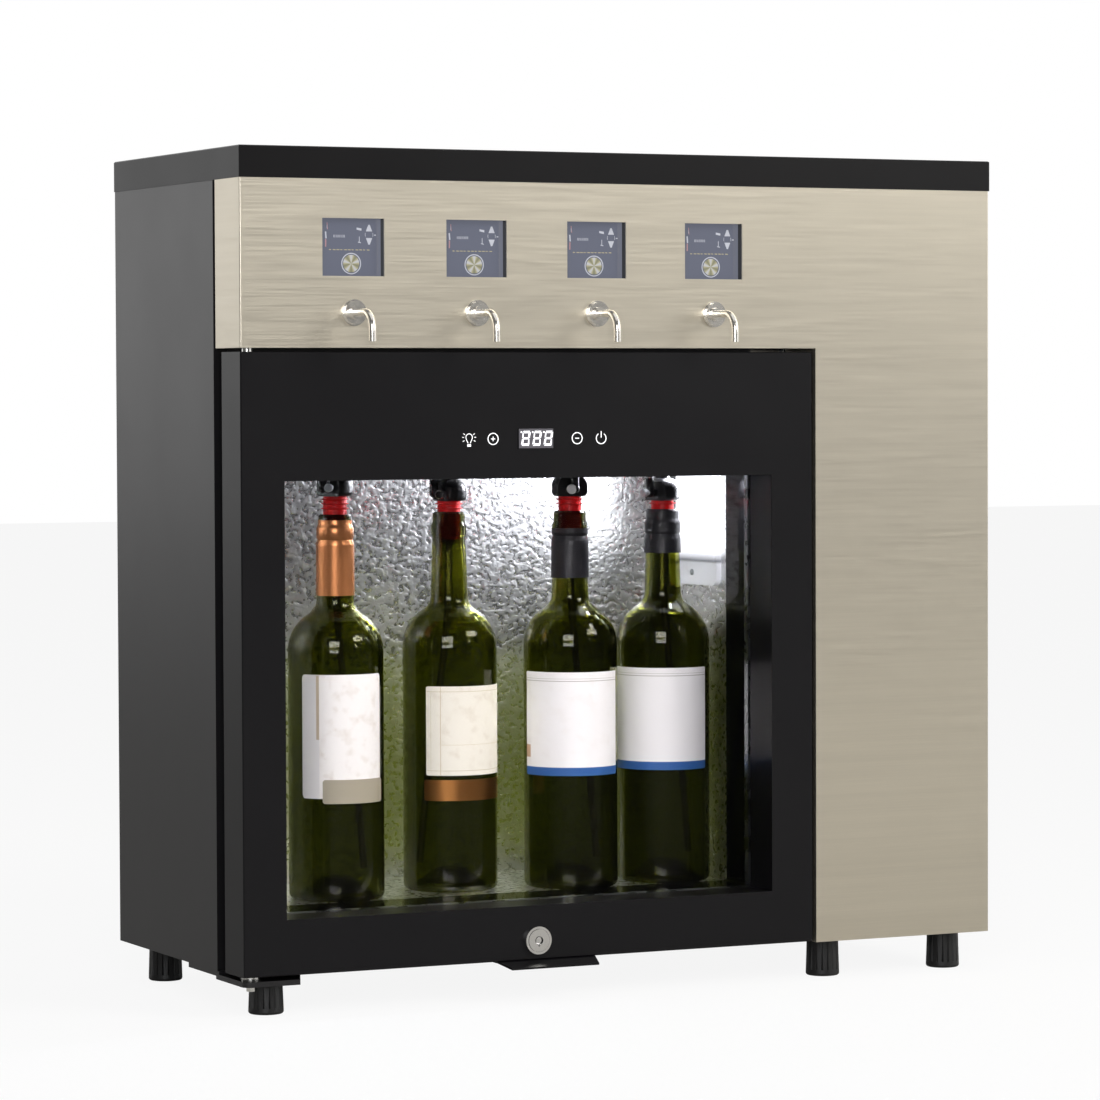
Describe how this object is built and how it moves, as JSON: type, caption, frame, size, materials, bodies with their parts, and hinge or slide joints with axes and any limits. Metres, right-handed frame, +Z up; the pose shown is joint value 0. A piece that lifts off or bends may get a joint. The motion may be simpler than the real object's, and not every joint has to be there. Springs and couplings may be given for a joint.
{
  "type": "wine preservation dispenser",
  "caption": "Cooled countertop cabinet that keeps opened wine bottles under gas and pours them through curved taps, with a glazed locking door and touch screens.",
  "frame": {"origin": "centre of the whole part's footprint, on the surface that the feet stand on", "axes": "+Z up, the door and taps face -Y, +X to the viewer's right"},
  "size_m": [0.651, 0.3204, 0.654],
  "materials": {
    "black_enamel": "fine-texture black powder coat",
    "brushed_stainless": "warm grey, horizontal grain",
    "zinc_plate": "zinc-plated sheet",
    "pu_foam": "foamed in place",
    "stucco_aluminium": "stucco-embossed",
    "gloss_black": "polished",
    "opal_cover": "clear to opal",
    "led_board": "white solder mask with LEDs",
    "evaporator_alu": "roll-bonded",
    "compressor_black": "satin black paint",
    "black_rubber": "moulded",
    "condenser_metal": "fins on copper tubes",
    "fan_plastic": "moulded",
    "copper_tube": "drawn copper",
    "manifold_alu": "machined",
    "valve_body": "moulded",
    "hose_black": "smooth",
    "circuit_board": "solder mask",
    "inlet_plastic": "moulded",
    "inlet_brass": "turned",
    "pin_steel": "bright zinc",
    "foot_plastic": "moulded, ribbed",
    "screen_glass": "lit display",
    "polished_stainless": "polished",
    "door_black": "satin black powder coat",
    "clear_glass": "float glass",
    "spacer_alu": "mill finish",
    "gasket_rubber": "soft, magnetic",
    "display_smoke": "smoked",
    "lock_chrome": "bright nickel",
    "bush_nylon": "moulded",
    "bottle_glass": "olive-green glass",
    "stopper_black": "moulded",
    "plug_red": "silicone rubber"
  },
  "bodies": {
    "cabinet": {"lid": "black_enamel", "left_side_panel": "black_enamel", "right_side_panel": "black_enamel", "back_panel": "black_enamel", "base_pan": "black_enamel", "front_fascia": "brushed_stainless", "partition_panel": "zinc_plate", "foam_insulation": "pu_foam", "chamber_liner": "stucco_aluminium", "breaker_frame": "gloss_black", "light_cover": "opal_cover", "led_strip": "led_board", "evaporator_plate": "evaporator_alu", "compressor": "compressor_black", "compressor_mounts": "black_rubber", "condenser": "condenser_metal", "fan_shroud": "fan_plastic", "refrigerant_lines": "copper_tube", "gas_manifold": "manifold_alu", "wine_valves": "valve_body", "header_tubes": "hose_black", "hose_grommets": "black_rubber", "control_board": "circuit_board", "power_supply": "zinc_plate", "power_inlet": "inlet_plastic", "gas_inlet": "inlet_brass", "hinge_brackets": "black_enamel", "hinge_pins": "pin_steel", "lock_keeper": "black_enamel", "feet": "foot_plastic", "screen_housings": "inlet_plastic", "touch_screens": "screen_glass", "spouts": "polished_stainless", "bottle_1": "bottle_glass", "hose_1": "hose_black", "bottle_2": "bottle_glass", "hose_2": "hose_black", "bottle_3": "bottle_glass", "hose_3": "hose_black", "bottle_4": "bottle_glass", "hose_4": "hose_black"},
    "door": {"door_frame": "door_black", "door_back_frame": "gloss_black", "door_glass": "clear_glass", "glazing_spacer": "spacer_alu", "door_gasket": "gasket_rubber", "display_module": "display_smoke", "door_pull": "black_enamel", "lock_housing": "lock_chrome", "hinge_bushes": "bush_nylon"},
    "lock": {"lock_cylinder": "lock_chrome"},
    "fan": {"fan_rotor": "fan_plastic"},
    "stopper_1": {"stopper_head_1": "stopper_black", "stopper_plug_1": "plug_red"},
    "stopper_2": {"stopper_head_2": "stopper_black", "stopper_plug_2": "plug_red"},
    "stopper_3": {"stopper_head_3": "stopper_black", "stopper_plug_3": "plug_red"},
    "stopper_4": {"stopper_head_4": "stopper_black", "stopper_plug_4": "plug_red"}
  },
  "joints": [
    {"name": "door_hinge", "type": "hinge", "parent": "cabinet", "child": "door", "pos_m": [-0.312, -0.10285, 0.03], "axis": [0, 0, -1], "range_deg": [0, 110]},
    {"name": "lock_turn", "type": "hinge", "parent": "door", "child": "lock", "pos_m": [-0.0815, -0.12185, 0.046], "axis": [0, 1, 0], "range_deg": [0, 90]},
    {"name": "fan_spin", "type": "hinge", "parent": "cabinet", "child": "fan", "pos_m": [0.245, 0.09815, 0.305], "axis": [0, 1, 0], "continuous": true},
    {"name": "stopper_lift_1", "type": "slide", "parent": "cabinet", "child": "stopper_1", "axis": [0, 0, 1], "range_m": [0, 0.025], "deforming": ["hose_1"]},
    {"name": "stopper_lift_2", "type": "slide", "parent": "cabinet", "child": "stopper_2", "axis": [0, 0, 1], "range_m": [0, 0.025], "deforming": ["hose_2"]},
    {"name": "stopper_lift_3", "type": "slide", "parent": "cabinet", "child": "stopper_3", "axis": [0, 0, 1], "range_m": [0, 0.025], "deforming": ["hose_3"]},
    {"name": "stopper_lift_4", "type": "slide", "parent": "cabinet", "child": "stopper_4", "axis": [0, 0, 1], "range_m": [0, 0.025], "deforming": ["hose_4"]}
  ]
}
